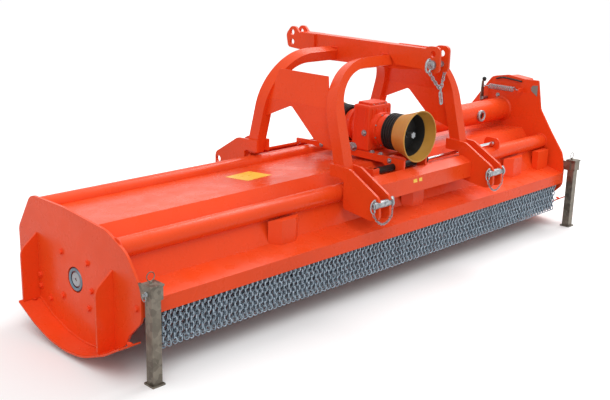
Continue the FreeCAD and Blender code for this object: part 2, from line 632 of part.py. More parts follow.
def cylinder_base_lug():
    """Bracket on the front cross member that holds the barrel's eye."""
    x0, x1, top = BARREL_X0 - 30, BARREL_X0 + 22, CYLINDER_Z + 22
    front, rear, cheek = -356.0, -304.0, 8.0
    pieces = [box(x0, x1, -400, front + cheek, LUG_Z, LUG_Z + cheek),
              box(x0, x1, front, front + cheek, LUG_Z, top),
              box(x0, x1, rear, rear + cheek, LUG_Z, top),
              box(x0, x0 + cheek, front, rear + cheek, LUG_Z, top),
              rod_y(BARREL_X0, front, rear + cheek, CYLINDER_Z, BASE_PIN_R)]
    return fuse(pieces)


def cylinder_barrel():
    """Barrel open at its right end, with an eye on the pin of its bracket."""
    y, z, half_eye, start = CYLINDER_Y, CYLINDER_Z, 15.0, BARREL_X0 + 30
    eye = rod_y(BARREL_X0, y - half_eye, y + half_eye, z, BASE_PIN_R + 6)
    neck = box(BARREL_X0 + 5, start + 1, y - 8, y + 8, z - 8, z + 8)
    barrel = fuse([eye, neck, rod_x(start, BARREL_X1, y, z, BARREL_R)])
    bore = rod_x(start + 2, BARREL_X1 + 1, y, z, ROD_R + RUNNING)
    return barrel.cut(bore).cut(rod_y(BARREL_X0, y - 30, y + 30, z, BASE_PIN_R + FIT / 2))


def cylinder_rod():
    """Rod from inside the barrel to its lug, with a nut on each side of the lug."""
    nut_r, nut_t, lug_half = 17.0, 14.0, 6.0
    pieces = [rod_x(ROD_X0, ROD_LUG_X + lug_half + nut_t + 8, CYLINDER_Y, CYLINDER_Z, ROD_R)]
    for x in (ROD_LUG_X - lug_half - nut_t, ROD_LUG_X + lug_half):
        hexagon = [(CYLINDER_Y + nut_r * cos(pi * k / 3), CYLINDER_Z + nut_r * sin(pi * k / 3))
                   for k in range(6)]
        pieces.append(plate_x(hexagon, x, x + nut_t))
    return fuse(pieces)


def cylinder_rod_lug():
    """Plate across the front guide tube that anchors the rod."""
    front, rear, top = -368, -262, CYLINDER_Z + 32
    x0, x1 = ROD_LUG_X - 6, ROD_LUG_X + 6
    corners = [(front, FRONT_TUBE_Z + 37), (front, top, 30), (rear, top, 30), (rear, FRONT_TUBE_Z + 7)]
    lug = plate_x(corners, x0, x1).cut(FRONT_TUBE_SEAT)
    return largest(lug.cut(rod_x(x0 - 1, x1 + 1, CYLINDER_Y, CYLINDER_Z, ROD_R + FIT)))


# ---------------------------------------------------------------- belt tensioner


def belt_tensioner():
    """Spring between two hooks along the right side plate's top, with the tensioning lever."""
    x, z, y0, y1 = INSIDE - 42, DRIVE_Z + 150, -115.0, 77.0
    wire, lever_w = 5.0, 18.0
    spring = rod_y(x, y0, y1, z, 16)
    hooks = [box(x - wire, x + wire, y0 - 25, y1 + 43, z - wire, z + wire),
             box(x - wire, INSIDE, y0 - 35, y0 - 25, z - 12, z + 12)]
    lever = box(x - lever_w, x + lever_w, y1 + 41, y1 + 53, z - 50, z + 20)
    pivot = rod_x(x - lever_w, INSIDE, y1 + 47, z - 40, 10)
    return fuse([spring, lever, pivot] + hooks)


SUBPARTS = {
    "front_guide_tube": guide_tube(FRONT_TUBE_Y, FRONT_TUBE_Z),
    "rear_guide_tube": guide_tube(REAR_TUBE_Y, REAR_TUBE_Z),
    "left_side_plate": left_side_plate(),
    "right_side_plate": right_side_plate(),
    "top_sheet": top_sheet(),
    "front_sheet": front_sheet(),
    "rear_sheet": rear_sheet(),
    "front_ribs": front_ribs(),
    "left_skid": skid(),
    "right_skid": right_skid(),
    "belt_cover": belt_cover(),
    "chain_rail": chain_rail(),
    "chain_curtain": chain_curtain(),
    "rotor_bearings": rotor_bearings(),
    "roller_arms": roller_arms(),
    "left_stand_guide": stand_guide(STAND_X["left"], -1),
    "right_stand_guide": stand_guide(STAND_X["right"], 1),
    "flap_hinge_pin": rod_x(-INSIDE, INSIDE, FLAP_Y, FLAP_Z, FLAP_PIN_R),
    "drive_tube": drive_tube(),
    "cylinder_rod": cylinder_rod(),
    "cylinder_rod_lug": cylinder_rod_lug(),
    "belt_tensioner": belt_tensioner(),
    "rotor": rotor(),
    "hammers": hammers(),
    "rear_roller": rear_roller(),
    "rear_flap": rear_flap(),
    "left_stand": parking_stand(STAND_X["left"]),
    "right_stand": parking_stand(STAND_X["right"]),
    "front_arch": arch(-1),
    "rear_arch": arch(1),
    "top_beam": top_beam(),
    "front_top_ears": front_top_ears(),
    "rear_top_ears": rear_top_ears(),
    "front_hitch_plates": front_hitch_plates(),
    "rear_hitch_plates": rear_hitch_plates(),
    "guide_slides": guide_slides(),
    "front_cross_member": front_cross_member(),
    "rear_cross_member": rear_cross_member(),
    "gearbox_seat": gearbox_seat(),
    "left_side_panel": side_panel(-1),
    "right_side_panel": side_panel(1),
    "lower_hitch_pins": lower_hitch_pins(),
    "top_link_pin": top_link_pin(),
    "gearbox": gearbox(),
    "cone_collars": cone_collars(),
    "front_cone_guard": cone_guard(-1),
    "rear_cone_guard": cone_guard(1),
    "pto_shaft": pto_shaft(),
    "drive_guard": drive_guard(),
    "cylinder_base_lug": cylinder_base_lug(),
    "cylinder_barrel": cylinder_barrel(),
}

os.makedirs("parts", exist_ok=True)
for name, shape in SUBPARTS.items():
    shape.exportStep("parts/%s.step" % name)
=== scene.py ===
import bpy
import json
import math
import random
from mathutils import Matrix, Vector


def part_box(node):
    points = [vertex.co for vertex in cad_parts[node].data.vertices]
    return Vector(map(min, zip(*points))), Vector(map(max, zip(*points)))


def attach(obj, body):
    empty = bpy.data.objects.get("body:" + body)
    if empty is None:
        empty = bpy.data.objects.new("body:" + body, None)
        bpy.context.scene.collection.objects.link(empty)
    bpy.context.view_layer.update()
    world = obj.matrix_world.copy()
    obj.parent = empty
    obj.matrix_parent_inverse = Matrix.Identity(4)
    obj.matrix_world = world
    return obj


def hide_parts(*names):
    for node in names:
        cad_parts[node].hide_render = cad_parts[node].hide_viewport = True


# Tractor mulcher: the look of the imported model. Metres, in the model's own frame:
# X across the machine, the tractor at -Y, Z up from the ground.

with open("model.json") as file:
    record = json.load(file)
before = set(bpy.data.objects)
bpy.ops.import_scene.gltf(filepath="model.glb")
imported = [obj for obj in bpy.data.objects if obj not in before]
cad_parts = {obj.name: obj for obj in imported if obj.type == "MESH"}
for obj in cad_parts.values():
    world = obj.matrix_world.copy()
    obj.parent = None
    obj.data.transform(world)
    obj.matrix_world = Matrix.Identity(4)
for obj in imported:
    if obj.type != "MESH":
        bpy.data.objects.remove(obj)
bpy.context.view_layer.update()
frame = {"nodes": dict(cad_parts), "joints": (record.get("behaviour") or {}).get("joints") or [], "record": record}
scene = bpy.context.scene
scene.view_settings.view_transform = "Standard"

X, Y, Z = Vector((1, 0, 0)), Vector((0, 1, 0)), Vector((0, 0, 1))
MOUNTS = {row["name"]: row for row in frame["record"]["mounts"]}
JOINTS = {row["name"]: row for row in frame["joints"]}


def make_camera():
    """The photo's viewpoint: in front of the left end, looking down on the machine."""
    forward = Vector((0.687, 0.673, -0.275)).normalized()
    right = forward.cross(Vector((0.179, 0.210, 0.961))).normalized()
    up = right.cross(forward)
    data = bpy.data.cameras.new("camera")
    data.lens = 55.06
    data.sensor_width = 36.0
    data.clip_end = 200.0
    camera = bpy.data.objects.new("camera", data)
    turn = Matrix((right, up, -forward)).transposed()
    camera.matrix_world = Matrix.Translation((-3.6328, -3.3547, 1.7695)) @ turn.to_4x4()
    scene.collection.objects.link(camera)
    scene.camera = camera


make_camera()

# ---------------------------------------------------------------- materials


class Shader:
    """A material's node tree, with short calls for the nodes that every finish needs."""

    def __init__(self, name, rough, metallic=0.0, coat=0.0, specular=0.5):
        self.material = bpy.data.materials.new(name)
        self.material.use_nodes = True
        self.tree = self.material.node_tree
        self.surface = self.tree.nodes["Principled BSDF"]
        self.set(self.surface, {"Roughness": rough, "Metallic": metallic, "Coat Weight": coat,
                                "Coat Roughness": 0.06, "Specular IOR Level": specular})
        self.place = self.node("ShaderNodeTexCoord").outputs["Object"]

    def node(self, kind, inputs=None, **settings):
        made = self.tree.nodes.new(kind)
        for key, value in settings.items():
            setattr(made, key, value)
        self.set(made, inputs or {})
        return made

    def set(self, node, inputs):
        for key, value in inputs.items():
            if isinstance(value, bpy.types.NodeSocket):
                self.tree.links.new(value, node.inputs[key])
            else:
                node.inputs[key].default_value = value

    def surface_from(self, color, roughness):
        self.set(self.surface, {"Base Color": color, "Roughness": roughness})

    def noise(self, scale, detail=4.0, rough=0.55):
        inputs = {"Vector": self.place, "Scale": scale, "Detail": detail, "Roughness": rough}
        return self.node("ShaderNodeTexNoise", inputs).outputs["Fac"]

    def cells(self, scale):
        voronoi = self.node("ShaderNodeTexVoronoi", {"Vector": self.place, "Scale": scale})
        return self.node("ShaderNodeSeparateColor", {"Color": voronoi.outputs["Color"]}).outputs["Red"]

    def spread(self, value, low, high, to_low=0.0, to_high=1.0):
        inputs = {"Value": value, "From Min": low, "From Max": high, "To Min": to_low, "To Max": to_high}
        return self.node("ShaderNodeMapRange", inputs).outputs["Result"]

    def times(self, a, b):
        return self.node("ShaderNodeMath", {0: a, 1: b}, operation="MULTIPLY").outputs["Value"]

    def mix(self, amount, first, second):
        mixed = self.node("ShaderNodeMix", data_type="RGBA")
        factor, color_a, color_b, color_out = 0, 6, 7, 2
        self.set(mixed, {factor: amount, color_a: first, color_b: second})
        return mixed.outputs[color_out]

    def rounding(self, radius):
        return self.node("ShaderNodeBevel", {"Radius": radius}, samples=4).outputs["Normal"]

    def edges(self, rounded):
        """How sharply the surface turns near a point, from 0 on a flat to 1 on an edge."""
        true_normal = self.node("ShaderNodeNewGeometry").outputs["Normal"]
        same = self.node("ShaderNodeVectorMath", {0: rounded, 1: true_normal}, operation="DOT_PRODUCT")
        return self.spread(same.outputs["Value"], 0.995, 0.86)

    def upward(self):
        normal = self.node("ShaderNodeNewGeometry").outputs["Normal"]
        return self.spread(self.node("ShaderNodeSeparateXYZ", {"Vector": normal}).outputs["Z"], 0.4, 1.0)

    def bump(self, height, strength, distance, normal=None):
        inputs = {"Height": height, "Strength": strength, "Distance": distance}
        if normal is not None:
            inputs["Normal"] = normal
        self.set(self.surface, {"Normal": self.node("ShaderNodeBump", inputs).outputs["Normal"]})


def rgb(*srgb):
    """Linear colour from 0-255 display values."""
    def linear(v):
        v /= 255
        return v / 12.92 if v <= 0.04045 else ((v + 0.055) / 1.055) ** 2.4
    return tuple(linear(v) for v in srgb) + (1.0,)


def darker(color, share):
    return tuple(share * c for c in color[:3]) + (1.0,)


def paint(name, color, gloss=0.26, wear=0.3, dust=0.04, wear_color=rgb(150, 60, 40)):
    """Sprayed gloss paint: slow colour drift, orange peel, light dust on top and rubbed edges."""
    s = Shader(name, gloss, specular=0.2)
    base = s.mix(s.spread(s.noise(1.6), 0.35, 0.65), darker(color, 0.86), color)
    fleck = s.spread(s.noise(90, 5), 0.52, 0.74, 0, 0.12)
    base = s.mix(fleck, base, darker(color, 0.6))
    dusty = s.times(s.upward(), s.spread(s.noise(7, 6), 0.3, 0.75, 0, dust))
    base = s.mix(dusty, base, rgb(226, 196, 176))
    rounded = s.rounding(0.0022)
    rubbed = s.times(s.edges(rounded), s.spread(s.noise(38, 6), 0.5, 0.72, 0, wear))
    base = s.mix(rubbed, base, wear_color)
    s.surface_from(base, s.spread(s.noise(11, 5), 0.3, 0.7, gloss - 0.06, gloss + 0.12))
    s.bump(s.noise(520, 2), 0.10, 0.0006, rounded)
    return s.material


def zinc(name, scale=70, grime=0.25, dark=rgb(128, 132, 136), light=rgb(186, 190, 192)):
    """Hot-dipped zinc: crystals of several greys, dull where it has weathered."""
    s = Shader(name, 0.42, metallic=0.72)
    crystal = s.cells(scale)
    base = s.mix(crystal, dark, light)
    base = s.mix(s.spread(s.noise(26, 6), 0.5, 0.75, 0, grime), base, rgb(92, 84, 74))
    s.surface_from(base, s.spread(crystal, 0, 1, 0.32, 0.52))
    s.bump(s.noise(240, 4), 0.15, 0.0008, s.rounding(0.0012))
    return s.material


def steel(name, color, rough=0.34, rust=0.2, grain=160):
    """Turned or forged steel with a fine grain and thin rust in patches."""
    s = Shader(name, rough, metallic=0.85)
    base = s.mix(s.noise(grain, 4), darker(color, 0.62), color)
    base = s.mix(s.spread(s.noise(17, 7), 0.56, 0.72, 0, rust), base, rgb(112, 62, 34))
    s.surface_from(base, s.spread(s.noise(30, 5), 0.3, 0.7, rough - 0.08, rough + 0.14))
    s.bump(s.noise(grain * 2, 3), 0.12, 0.0006, s.rounding(0.0012))
    return s.material


def chrome():
    """Hard chrome of the cylinder's rod, with faint smears."""
    s = Shader("chrome_rod", 0.09, metallic=1.0)
    base = s.mix(s.noise(5), rgb(206, 210, 214), rgb(228, 231, 234))
    s.surface_from(base, s.spread(s.noise(60, 6), 0.45, 0.75, 0.05, 0.16))
    s.bump(s.noise(700, 2), 0.03, 0.0002)
    return s.material


def plastic(name, color, rough=0.48, mottle=0.18, grain=300, dust=0.1):
    """Moulded plastic or rubber: fine grain, faint mottling and dust on top."""
    s = Shader(name, rough, specular=0.4)
    base = s.mix(s.spread(s.noise(9, 5), 0.3, 0.7), darker(color, 1 - mottle), color)
    dusty = s.times(s.upward(), s.spread(s.noise(14, 6), 0.35, 0.75, 0, dust))
    base = s.mix(dusty, base, rgb(190, 178, 160))
    s.surface_from(base, s.spread(s.noise(22, 5), 0.3, 0.7, rough - 0.08, rough + 0.1))
    s.bump(s.noise(grain, 3), 0.12, 0.0006, s.rounding(0.0015))
    return s.material


def worn_paint(name, color, metal, amount):
    """Paint that the soil and stalks have scoured through to the metal."""
    s = Shader(name, 0.4)
    scoured = s.spread(s.noise(34, 10, 0.7), 0.66 - amount, 0.74 - amount)
    base = s.mix(scoured, s.mix(s.noise(5), color, darker(color, 0.7)), metal)
    soil = s.spread(s.noise(4, 6), 0.55, 0.75, 0, 0.5)
    base = s.mix(soil, base, rgb(120, 96, 72))
    s.surface_from(base, s.spread(s.noise(20, 5), 0.3, 0.7, 0.35, 0.6))
    s.set(s.surface, {"Metallic": s.times(scoured, 0.7)})
    s.bump(s.noise(120, 5), 0.2, 0.001, s.rounding(0.002))
    return s.material


RED = rgb(240, 76, 28)
FINISH = {
    "red_paint": paint("red_paint", RED),
    "cast_paint": paint("cast_paint", rgb(244, 72, 28), gloss=0.38, wear=0.4, dust=0.08),
    "galvanised": zinc("galvanised"),
    "chain_zinc": zinc("chain_zinc", scale=160, grime=0.2, dark=rgb(112, 126, 138), light=rgb(178, 192, 204)),
    "chrome_rod": chrome(),
    "bare_steel": steel("bare_steel", rgb(168, 172, 176)),
    "forged": steel("forged", rgb(96, 92, 90), rough=0.5, rust=0.55, grain=80),
    "bolt_zinc": zinc("bolt_zinc", scale=220, grime=0.1),
    "dark_paint": worn_paint("dark_paint", rgb(214, 56, 26), rgb(150, 148, 146), 0.0),
    "roller_paint": worn_paint("roller_paint", rgb(206, 54, 26), rgb(160, 158, 154), 0.08),
    "black_parts": plastic("black_parts", rgb(15, 14, 13), rough=0.5, dust=0.06),
    "cone_plastic": plastic("cone_plastic", rgb(202, 148, 62), rough=0.42, mottle=0.22),
    "yellow_decal": plastic("yellow_decal", rgb(255, 204, 70), rough=0.3, mottle=0.06, dust=0.06),
    "grey_green": plastic("grey_green", rgb(128, 140, 134), rough=0.4),
    "hub_grey": steel("hub_grey", rgb(120, 142, 156), rough=0.4, rust=0.08),
    "stand_zinc": zinc("stand_zinc", scale=45, grime=0.5, dark=rgb(98, 92, 82), light=rgb(136, 128, 116)),
}

# ---------------------------------------------------------------- mesh building


def across(axis):
    """Two directions square to an axis."""
    axis = axis.normalized()
    side = axis.cross(Z) if abs(axis.z) < 0.9 else axis.cross(X)
    side.normalize()
    return side, axis.cross(side)


class Form:
    """Corners and faces gathered for one piece."""

    def __init__(self):
        self.verts, self.faces = [], []

    def add(self, verts, faces):
        first = len(self.verts)
        self.verts += verts
        self.faces += [tuple(first + i for i in face) for face in faces]

    def grid(self, rows, closed_rows, closed_columns):
        """Faces over equal rows of points."""
        count, width = len(rows), len(rows[0])
        faces = []
        for i in range(count if closed_rows else count - 1):
            for j in range(width if closed_columns else width - 1):
                a, b = i * width, (i + 1) % count * width
                k = (j + 1) % width
                faces.append((a + j, a + k, b + k, b + j))
        self.add([p for row in rows for p in row], faces)

    def lathe(self, profile, origin, axis, count=64, closed=True):
        """Turned surface from (along, radius) points."""
        u, w = across(axis)
        rows = []
        for along, radius in profile:
            centre = origin + axis * along
            turns = [2 * math.pi * k / count for k in range(count)]
            rows.append([centre + (u * math.cos(t) + w * math.sin(t)) * radius for t in turns])
        self.grid(rows, closed, True)

    def tube(self, path, radius, sides=8, closed=False, flat=1.0):
        """Round or oval bar along a path of points."""
        rows, last = [], len(path) - 1
        u = None
        for i, point in enumerate(path):
            before = path[i - 1] if closed or i else point
            after = path[(i + 1) % len(path)] if closed or i < last else point
            along = (after - before).normalized()
            u = across(along)[0] if u is None else (u - along * u.dot(along)).normalized()
            w = along.cross(u)
            turns = [2 * math.pi * k / sides for k in range(sides)]
            rows.append([point + u * radius * math.cos(t) + w * radius * flat * math.sin(t) for t in turns])
        self.grid(rows, closed, True)
        if not closed:
            first = len(self.verts) - len(rows) * sides
            self.faces.append(tuple(range(first + sides - 1, first - 1, -1)))
            self.faces.append(tuple(range(len(self.verts) - sides, len(self.verts))))

    def block(self, low, high, lean=0.0):
        """Straight-sided block, its top narrowed by lean on every side."""
        (x0, y0, z0), (x1, y1, z1) = low, high
        base = [Vector(p) for p in ((x0, y0, z0), (x1, y0, z0), (x1, y1, z0), (x0, y1, z0))]
        top = [Vector(p) for p in ((x0 + lean, y0 + lean, z1), (x1 - lean, y0 + lean, z1),
                                   (x1 - lean, y1 - lean, z1), (x0 + lean, y1 - lean, z1))]
        faces = [(3, 2, 1, 0), (4, 5, 6, 7), (0, 1, 5, 4), (1, 2, 6, 5), (2, 3, 7, 6), (3, 0, 4, 7)]
        self.add(base + top, faces)

    def plate(self, outline, origin, u, w, thickness):
        """Flat plate of any outline in the u-w plane, thickened along their cross product."""
        normal = u.cross(w) * thickness
        low = [origin + u * a + w * b for a, b in outline]
        count = len(low)
        faces = [tuple(range(count - 1, -1, -1)), tuple(range(count, 2 * count))]
        faces += [(i, (i + 1) % count, count + (i + 1) % count, count + i) for i in range(count)]
        self.add(low + [p + normal for p in low], faces)

    def bolt(self, origin, axis, radius=0.012, height=0.008, washer=True):
        """Hexagon head with a turned chamfer, on a washer."""
        start = 0.0
        if washer:
            start, hole, rim = 0.0016, 0.1 * radius, 1.45 * radius
            self.lathe([(0, hole), (0, rim), (start, rim), (start, hole)], origin, axis, 20)
        shoulder, top = start + 0.8 * height, start + height
        profile = [(start, 0), (start, radius), (shoulder, radius), (top, 0.82 * radius), (top, 0)]
        self.lathe(profile, origin, axis, 6)

    def piece(self, name, body, finish, slot=None, bevel=0.0, smooth=40, replaces=()):
        """Makes the object, which rides on its body and wears its finish; its slot is not used."""
        mesh = bpy.data.meshes.new(name)
        mesh.from_pydata(self.verts, [], self.faces)
        mesh.validate()
        obj = bpy.data.objects.new(name, mesh)
        scene.collection.objects.link(obj)
        mesh.materials.append(FINISH[finish])
        for face in mesh.polygons:
            face.use_smooth = True
        mesh.set_sharp_from_angle(angle=math.radians(smooth))
        if bevel:
            rounding = obj.modifiers.new("rounding", "BEVEL")
            rounding.width = bevel
            rounding.segments = 3
            rounding.limit_method = "ANGLE"
            rounding.angle_limit = math.radians(35)
        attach(obj, body)
        if replaces:
            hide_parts(*replaces)
        return obj


def ring_path(centre, u, w, half_u, half_w, count=16):
    """Closed circle or ellipse in the u-w plane."""
    turns = [2 * math.pi * k / count for k in range(count)]
    return [centre + u * half_u * math.cos(t) + w * half_w * math.sin(t) for t in turns]


def link_path(centre, side, along, width, length, bends=5):
    """Middle line of a chain link: two straight runs joined by half circles."""
    path = []
    for end in (1, -1):
        bend_centre = centre + along * end * (length - width) / 2
        for k in range(bends):
            t = math.pi * k / (bends - 1)
            path.append(bend_centre + (side * math.cos(t) + along * math.sin(t)) * end * width / 2)
    return path


def hung_chain(form, start, end, drop, wire, pitch):
    """Chain of small links hung between two points, with its lowest point a drop below them."""
    def at(t):
        return start.lerp(end, t) - Z * 4 * drop * t * (1 - t)
    fine = [at(k / 200) for k in range(201)]
    total = sum((b - a).length for a, b in zip(fine, fine[1:]))
    count = max(2, round(total / pitch))
    for i in range(count):
        t0, t1 = i / count, (i + 1) / count
        a, b = at(t0), at(t1)
        along = (b - a).normalized()
        u, w = across(along)
        side = u if i % 2 else w
        path = link_path((a + b) / 2, side, along, 3.2 * wire, (b - a).length + 2.1 * wire, 4)
        form.tube(path, wire / 2, 6, closed=True)


# ---------------------------------------------------------------- carried-over nodes
# Nodes whose finish is more particular than their slot's name.
SPECIAL = {"hammers": "forged", "rear_roller": "roller_paint", "rotor_bearings": "cast_paint",
           "front_cone_guard": "cone_plastic", "rear_cone_guard": "cone_plastic",
           "chain_curtain": "chain_zinc", "left_stand": "stand_zinc", "right_stand": "stand_zinc",
           "left_stand_guide": "stand_zinc", "right_stand_guide": "stand_zinc"}


def finish_nodes():
    """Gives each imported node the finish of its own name, or of its slot in the record."""
    slots = {row["node"]: row["material_slot"] for row in frame["record"]["subparts"]}
    for name, node in frame["nodes"].items():
        node.data.materials.clear()
        node.data.materials.append(FINISH[SPECIAL.get(name, slots[name])])


finish_nodes()

# ---------------------------------------------------------------- chain curtain


def chain_curtain():
    """Two rows of hanging chain, the rear one set over by half the spacing, up to the right side plate."""
    low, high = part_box("chain_curtain")
    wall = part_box("front_sheet")[1].x
    wire, width, pitch, spacing, margin, inset = 0.0072, 0.0265, 0.0235, 0.030, 0.015, 0.004
    draw = random.Random(7)
    rows = (("chain_row_front", low.y + inset, 0.0), ("chain_row_rear", high.y - inset, spacing / 2))
    for name, y, stagger in rows:
        form = Form()
        count = int((wall - low.x - 2 * margin) / spacing)
        links = int((high.z - low.z) / pitch)
        for i in range(count):
            x = low.x + margin + stagger + i * spacing
            yaw = math.radians(45 + draw.uniform(-14, 14))
            lean_x, lean_y = draw.uniform(-0.012, 0.012), draw.uniform(-0.008, 0.008)
            for k in range(links):
                z = high.z - pitch * (k + 0.5)
                drop = high.z - z
                centre = Vector((x + lean_x * drop, y + lean_y * drop, z))
                turn = yaw + (k % 2) * math.pi / 2 + math.radians(draw.uniform(-6, 6))
                side = X * math.cos(turn) + Y * math.sin(turn)
                form.tube(link_path(centre, side, Z, width - wire, pitch + wire, 5), wire / 2, 6, closed=True)
        form.piece(name, "casing", "chain_zinc", "galvanised", smooth=80,
                   replaces=("chain_curtain",) if stagger == 0 else ())


chain_curtain()

# ---------------------------------------------------------------- paths for bars and welds


def smooth_path(points, steps=6):
    """Points along a curve through the given ones."""
    path = []
    ends = [points[0] * 2 - points[1]] + points + [points[-1] * 2 - points[-2]]
    for a, b, c, d in zip(ends, ends[1:], ends[2:], ends[3:]):
        for k in range(steps):
            t = k / steps
            bend = (2 * a - 5 * b + 4 * c - d) * t ** 2 + (3 * b - a - 3 * c + d) * t ** 3
            path.append((2 * b + (c - a) * t + bend) / 2)
    return path + [points[-1]]


def straight(start, end, step=0.006):
    """Points a step apart between two ends."""
    count = max(2, int((end - start).length / step))
    return [start.lerp(end, k / count) for k in range(count + 1)]


def rippled(path, depth=0.0006):
    """The same path with a welder's small uneven steps."""
    draw = random.Random(len(path))
    return [p + Vector([draw.uniform(-depth, depth) for _ in range(3)]) for p in path]


# ---------------------------------------------------------------- casing, stand and sign details
ROTOR = Vector(JOINTS["rotor_spin"]["pos_m"])
LEFT_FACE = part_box("left_side_plate")[0].x
RIGHT_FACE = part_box("right_side_plate")[1].x
LEFT_INNER_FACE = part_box("left_side_plate")[1].x
RIGHT_INNER_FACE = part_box("right_side_plate")[0].x


def bearing_hubs():
    """Cast ring of each rotor bearing, seen inside the side plate's hole, and the shaft's turned end."""
    ring = [(-0.012, 0.037), (0.004, 0.037), (0.006, 0.040), (0.006, 0.050), (0.001, 0.054), (-0.012, 0.054)]
    end = [(0, 0.004), (-0.004, 0.006), (0, 0.008), (0, 0.030), (-0.003, 0.0335), (-0.02, 0.0335),
           (-0.02, 0.004)]
    ring_inset, end_inset = 0.006, 0.003
    rings, ends = Form(), Form()
    for face, side in ((LEFT_FACE, -1), (RIGHT_FACE, 1)):
        rings.lathe(ring, Vector((face - side * ring_inset, ROTOR.y, ROTOR.z)), X * side)
        ends.lathe(end, Vector((face - side * end_inset, ROTOR.y, ROTOR.z)), X * side)
    rings.piece("bearing_rings", "casing", "hub_grey", "bare_steel")
    ends.piece("rotor_shaft_ends", "rotor", "bare_steel")


def side_plate_bolts():
    """Painted bolts of the bearings, roller arms and ribs on the side plates."""
    square, radius, height = 0.102, 0.0115, 0.009
    bearing = [(ROTOR.y + a * square, ROTOR.z + b * square) for a in (-1, 1) for b in (-1, 1)]
    roller_arm = [(0.276, 0.253), (0.273, 0.201), (0.360, 0.253)]
    single = [(-0.140, 0.291), (0.194, 0.163), (-0.467, 0.313)]
    form = Form()
    for y, z in bearing + roller_arm + single:
        form.bolt(Vector((LEFT_FACE, y, z)), -X, radius, height)
    for y, z in roller_arm:
        form.bolt(Vector((RIGHT_FACE, y, z)), X, radius, height)
    form.piece("side_plate_bolts", "casing", "cast_paint", "red_paint")


def belt_cover_tabs():
    """Tabs that hold the belt cover to the side plate, each with its bolt."""
    half, reach, thick, corner = 0.014, 0.024, 0.004, 0.008
    outline = [(-half, 0), (half, 0), (half, reach - corner), (half - corner, reach), (corner - half, reach),
               (-half, reach - corner)]
    edge = ((-0.170, 0.815, -Y), (-0.283, 0.44, -Y), (-0.283, 0.30, -Y), (-0.10, 0.182, -Z),
            (0.05, 0.182, -Z), (0.230, 0.36, Y), (0.230, 0.52, Y))
    tabs, bolts = Form(), Form()
    for y, z, out in edge:
        root = Vector((RIGHT_FACE, y, z))
        tabs.plate(outline, root, X.cross(out), out, thick)
        bolts.bolt(root + out * (reach - 0.011) + X * thick, X, 0.007, 0.005)
    tabs.piece("belt_cover_tabs", "casing", "red_paint", bevel=0.001)
    bolts.piece("belt_cover_bolts", "casing", "bolt_zinc", "galvanised")


def skid_bolts():
    """Low bolts on the front and rear tips of both skids."""
    from_plate, tilt = 0.030, 0.45
    form = Form()
    for face, side in ((LEFT_FACE, -1), (RIGHT_FACE, 1)):
        for y, z, lean in ((-0.455, 0.1645, -tilt), (0.288, 0.1345, tilt)):
            form.bolt(Vector((face + side * from_plate, y, z)), Vector((0, lean, 0.9)), 0.009, 0.004)
    form.piece("skid_bolts", "casing", "cast_paint", "red_paint")


def skid_welds():
    """Weld beads that close the joint between each side plate's low edge and its skid."""
    bead, sink, edge_top = 0.0042, 0.003, 0.152
    form = Form()
    for name, face, side in (("left", LEFT_FACE, -1), ("right", RIGHT_FACE, 1)):
        skid_low, skid_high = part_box(name + "_skid")
        edge = set()
        for corner in bpy.data.objects[name + "_side_plate"].data.vertices:
            x, y, z = corner.co
            if abs(x - face) < 1e-4 and z < edge_top and skid_low.y < y < skid_high.y:
                edge.add((round(y, 4), round(z, 4)))
        path = [Vector((face + side * 0.0005, y, z - sink)) for y, z in sorted(edge)]
        dense = [path[0]]
        for a, b in zip(path, path[1:]):
            dense += straight(a, b)[1:]
        form.tube(rippled(dense), bead, 6)
    form.piece("skid_welds", "casing", "red_paint", smooth=80)


def blank_sign():
    """Yellow sign without any text, stuck a little askew on the top sheet."""
    fold = Vector((0, -0.173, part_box("top_sheet")[1].z))
    rear = Vector((0, 0.285, 0.561))
    along = (rear - fold).normalized()
    half_width, half_length, askew = 0.088, 0.080, math.radians(4.5)
    centre = fold + along * 0.243 + X * -0.552 + X.cross(along) * 0.0003
    u = X * math.cos(askew) + along * math.sin(askew)
    w = along * math.cos(askew) - X * math.sin(askew)
    corners = [(-half_width, -half_length), (half_width, -half_length), (half_width, half_length),
               (-half_width, half_length)]
    sign = Form()
    sign.plate(corners, centre, u, w, 0.0006)
    sign.piece("top_sheet_sign", "casing", "yellow_decal", "yellow_plastic", bevel=0.0002)


def cross_member_marks():
    """Two small yellow marks without text on the front cross member."""
    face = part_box("front_cross_member")[0].y
    form = Form()
    for x, half in ((0.148, 0.016), (0.192, 0.013)):
        corners = [(-half, -0.010), (half, -0.010), (half * 0.6, 0.010), (-half * 1.2, 0.008)]
        form.plate(corners, Vector((x, face - 0.0002, 0.538)), X, Z, 0.0004)
    form.piece("cross_member_marks", "headstock", "yellow_decal", "yellow_plastic")


def stand_ring(name):
    """Eye and ring handle on the cap of one parking stand."""
    ring_radius, wire = 0.0185, 0.0022
    low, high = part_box(name)
    middle = (low + high) / 2
    top = Vector((middle.x, middle.y + 0.012, high.z))
    form = Form()
    form.lathe([(-0.001, 0.001), (-0.001, 0.007), (0.007, 0.006), (0.010, 0.001)], top, Z, 20)
    form.tube(ring_path(top + Z * 0.026, X, Z, ring_radius, ring_radius, 28), wire, 8, closed=True)
    form.piece(name + "_ring", name, "stand_zinc", "galvanised")


